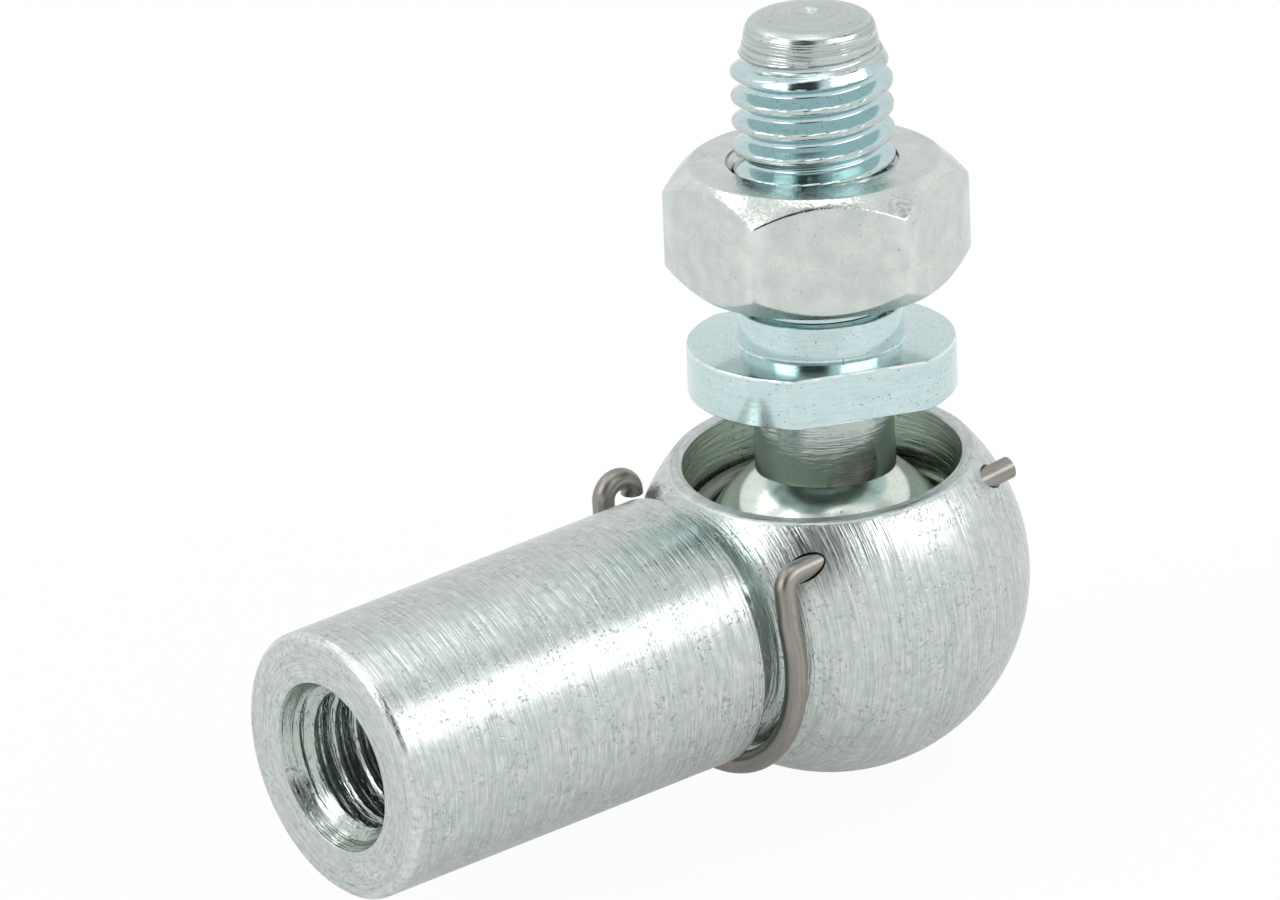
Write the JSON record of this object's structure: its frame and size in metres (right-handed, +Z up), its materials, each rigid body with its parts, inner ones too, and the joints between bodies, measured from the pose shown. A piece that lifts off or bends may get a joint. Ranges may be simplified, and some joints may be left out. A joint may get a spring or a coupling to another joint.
{
  "type": "angle ball joint",
  "caption": "Angle joint with a ball stud held by an inner ring in a threaded socket, a lock nut and a wire safety clip.",
  "frame": {"origin": "centre of the threaded bore's mouth, on the flat end of the socket's shank", "axes": "+X along the shank towards the head, +Z up out of the ball cavity, +Y to the side of the clip's hook; the ball's centre is at (0.030, 0, 0)"},
  "size_m": [0.0396, 0.0192, 0.0381],
  "materials": {
    "zinc_socket": "turned steel, zinc plated and blue passivated",
    "zinc_stud": "turned steel with rolled thread, zinc plated and blue passivated",
    "zinc_nut": "cold-formed steel, zinc plated and blue passivated",
    "clip_wire": "drawn spring wire, satin",
    "ring_wire": "drawn spring wire, dark"
  },
  "bodies": {
    "socket": {"socket": "zinc_socket"},
    "ring": {"snap_ring": "ring_wire"},
    "stud": {"ball_stud": "zinc_stud"},
    "nut": {"hex_nut": "zinc_nut"},
    "clip": {"safety_clip": "clip_wire"}
  },
  "joints": [
    {"name": "ring_turn", "type": "hinge", "parent": "socket", "child": "ring", "pos_m": [0.03, 0, 0], "axis": [0, 0, 1], "continuous": true},
    {"name": "stud_tilt", "type": "hinge", "parent": "ring", "child": "stud", "pos_m": [0.03, 0, 0], "axis": [-0.6129, 0.7902, 0], "range_deg": [-24, 11.8]},
    {"name": "nut_turn", "type": "hinge", "parent": "stud", "child": "nut", "pos_m": [0.03126, 0.00097, 0.01487], "axis": [0.084, 0.0651, 0.9943], "continuous": true},
    {"name": "clip_swing", "type": "hinge", "parent": "socket", "child": "clip", "pos_m": [0.03, -0.00598, 0.00477], "axis": [0.9973, 0.0313, 0.0662], "range_deg": [-1, 1.8]}
  ]
}
